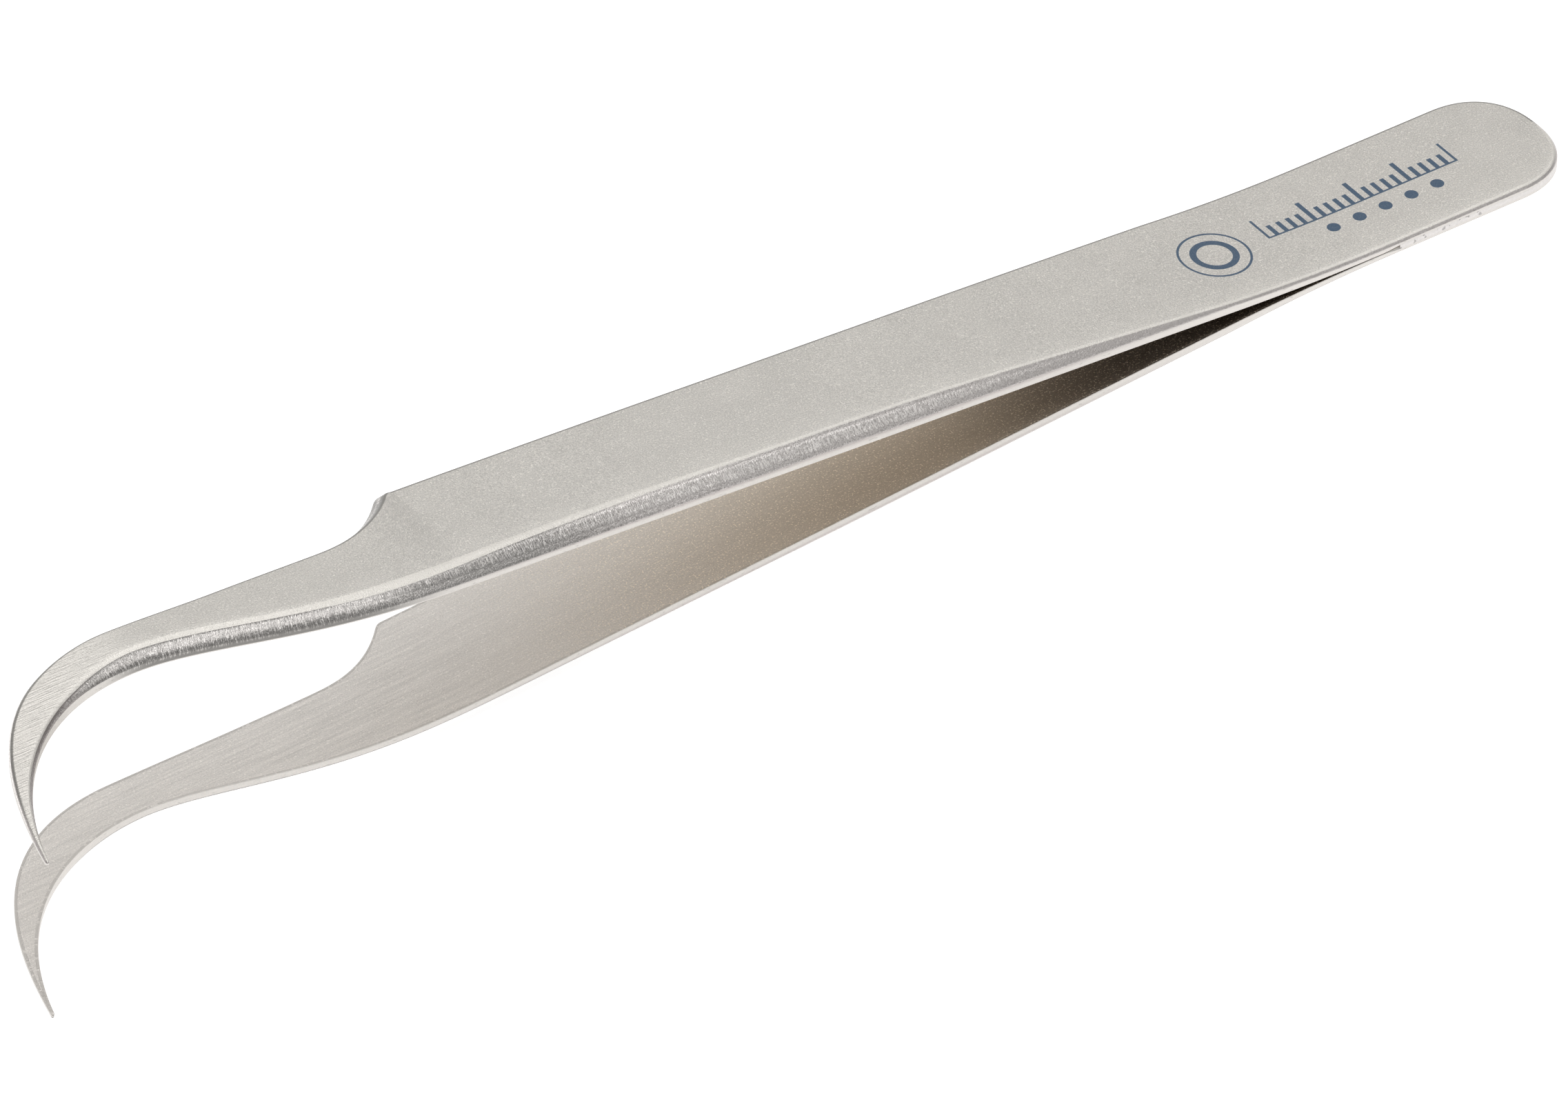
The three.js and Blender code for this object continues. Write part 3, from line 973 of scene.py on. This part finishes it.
def weldTree(material):
    # runs a rounded strip of weld metal along the path and makes its surface a little uneven
    tree = bpy.data.node_groups.new("heelWeldRun", "GeometryNodeTree")
    face = tree.interface
    face.new_socket(name="Path", in_out="INPUT", socket_type="NodeSocketGeometry")
    for name in ("Height", "Depth", "Corner Radius", "Spacing", "Unevenness", "Uneven Scale", "Seed"):
        face.new_socket(name=name, in_out="INPUT", socket_type="NodeSocketFloat")
    face.new_socket(name="Weld", in_out="OUTPUT", socket_type="NodeSocketGeometry")
    sheet = Sheet(tree)
    given = sheet.add("NodeGroupInput")
    path, high, deep, corner, spacing, uneven, scale, seed = (Link(sheet, given.outputs[i])
                                                              for i in range(8))
    path = sheet.link("GeometryNodeMeshToCurve", None, {"Mesh": path})
    path = sheet.link("GeometryNodeResampleCurve", {"mode": "LENGTH"}, {"Curve": path, "Length": spacing})
    path = sheet.link("GeometryNodeSetCurveNormal", {"mode": "Z_UP"}, {"Curve": path})
    strip = sheet.link("GeometryNodeCurvePrimitiveQuadrilateral", None, {"Width": deep, "Height": high})
    strip = sheet.link("GeometryNodeFilletCurve", {"mode": "POLY"},
                       {"Curve": strip, "Radius": corner, "Count": 3})
    shape = sheet.link("GeometryNodeCurveToMesh", None,
                       {"Curve": path, "Profile Curve": strip, "Fill Caps": True})
    wave = sheet.link("ShaderNodeTexNoise", {"noise_dimensions": "4D"},
                      {"W": seed, "Scale": scale, "Detail": 1})
    shift = (wave - 0.5) * uneven
    normal = sheet.link("GeometryNodeInputNormal")
    offset = sheet.link("ShaderNodeVectorMath", {"operation": "SCALE"}, {"Vector": normal, "Scale": shift})
    shape = sheet.link("GeometryNodeSetPosition", None, {"Geometry": shape, "Offset": offset})
    shape = sheet.link("GeometryNodeSetShadeSmooth", None, {"Geometry": shape})
    shape = sheet.link("GeometryNodeRealizeInstances", None, {"Geometry": shape})
    shape = sheet.link("GeometryNodeSetMaterial", None, {"Geometry": shape, "Material": material})
    sheet.add("NodeGroupOutput", None, {"Weld": shape})
    return tree


def layWeld():
    # the bead runs in a U: along the far side, round the heel's end and back along the near side
    p = weld
    straight = np.linspace(p["sideFrom"], p["end"], p["sideSteps"])
    s = np.concatenate([heelRound(p["roundSteps"]), straight])
    sides = []
    for side in (1, -1):
        at = edge(s, side) - outward(s, side) * p["depth"] / 2
        sides.append(np.column_stack([-at[:, 0], at[:, 1], np.zeros(len(s))]))
    path = toFrame(np.concatenate([sides[0][::-1], sides[1][1:]]))
    mesh = bpy.data.meshes.new("heelWeldPath")
    mesh.from_pydata(path.tolist(), [(i, i + 1) for i in range(len(path) - 1)], [])
    values = {"Height": p["height"] * mm, "Depth": p["depth"] * mm,
              "Corner Radius": p["cornerRadius"] * mm, "Spacing": p["spacing"] * mm,
              "Unevenness": p["unevenness"] * mm, "Uneven Scale": float(p["unevenScale"]),
              "Seed": float(p["seed"])}
    piece = baked(placed("heelWeldPath", mesh), weldTree(weldSteel()), values, "heelWeld")
    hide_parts("heel_weld")
    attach(piece, "heel")
    print("weld", len(piece.data.polygons), "faces")


studio = {
    "azimuth": -34.92,              # camera, round the pair's own middle plane
    "elevation": 38.0,
    "distance": 1000,
    "aim": (-63.76, -8.95, 0),
    "lens": 379.55,
    "clip": (0.05, 20),
    "floorSize": 4.0,
    "floorColour": (0.45, 0.45, 0.45),
    "floorGlow": 0.8,
    "airStrength": (0.28, 0.55),    # at the horizon and overhead
    "airRise": (0.05, 0.5),         # between these heights of a ray's direction
    "farSoftbox": (1.2, 1.3, 0.48),  # distance and size in metres, radiance
    "topSoftbox": (1.1, 0.8, 1.8),
    "topToward": (0.1, -0.12, 1),
}


def setCamera():
    # gives back the direction from the pair to the camera
    p = studio
    az, el = math.radians(p["azimuth"]), math.radians(p["elevation"])
    back = Vector((math.sin(az) * math.cos(el), -math.cos(az) * math.cos(el), math.sin(el)))
    right = Vector((math.cos(az), math.sin(az), 0))
    turn = Matrix((right, back.cross(right), back)).transposed().to_4x4()
    place = Vector(p["aim"]) * mm + back * p["distance"] * mm
    data = bpy.data.cameras.new("studioCamera")
    data.lens = p["lens"]
    data.clip_start, data.clip_end = p["clip"]
    camera = placed("studioCamera", data)
    camera.matrix_world = lie @ Matrix.Translation(place) @ turn
    bpy.context.scene.camera = camera
    return (lie.to_3x3() @ back).normalized()


def softbox(name, toward, distance, size, radiance):
    # a square lamp that faces the origin
    data = bpy.data.lights.new(name, "AREA")
    data.shape = "SQUARE"
    data.size = size
    data.energy = radiance * math.pi * size * size
    lamp = placed(name, data)
    toward = Vector(toward).normalized()
    lamp.location = toward * distance
    lamp.rotation_mode = "QUATERNION"
    lamp.rotation_quaternion = toward.to_track_quat("Z", "Y")


def setStudio(back):
    # white paper, a plain sky that is brighter overhead, and two softboxes: one behind the pair, where
    # its outside face mirrors it to the camera, and one overhead
    p = studio
    half = p["floorSize"] / 2
    mesh = bpy.data.meshes.new("studioFloor")
    mesh.from_pydata([(-half, -half, 0), (half, -half, 0), (half, half, 0), (-half, half, 0)],
                     [], [(0, 1, 2, 3)])
    floor = placed("studioFloor", mesh)
    material = bpy.data.materials.new("studioPaper")
    material.use_nodes = True
    shader = material.node_tree.nodes["Principled BSDF"]
    shader.inputs["Base Color"].default_value = (*p["floorColour"], 1)
    shader.inputs["Roughness"].default_value = 0.9
    shader.inputs["Specular IOR Level"].default_value = 0
    shader.inputs["Emission Color"].default_value = (1, 1, 1, 1)
    shader.inputs["Emission Strength"].default_value = p["floorGlow"]
    mesh.materials.append(material)
    world = bpy.data.worlds.new("studioAir")
    bpy.context.scene.world = world
    world.use_nodes = True
    air = Sheet(world.node_tree)
    ray = air.link("ShaderNodeTexCoord", output="Generated")
    height = Link(air, air.add("ShaderNodeSeparateXYZ", None, {"Vector": ray}).outputs["Z"])
    horizon, above = p["airStrength"]
    strength = horizon + (above - horizon) * height.ramp(*p["airRise"])
    background = world.node_tree.nodes["Background"]
    background.inputs["Color"].default_value = (1, 1, 1, 1)
    air.tree.links.new(strength.socket, background.inputs["Strength"])
    away = Vector((-back.x, -back.y, back.z))
    softbox("farSoftbox", away, *p["farSoftbox"])
    softbox("topSoftbox", p["topToward"], *p["topSoftbox"])
    bpy.context.scene.view_settings.view_transform = "Standard"


setStudio(setCamera())
layArms()
layWeld()
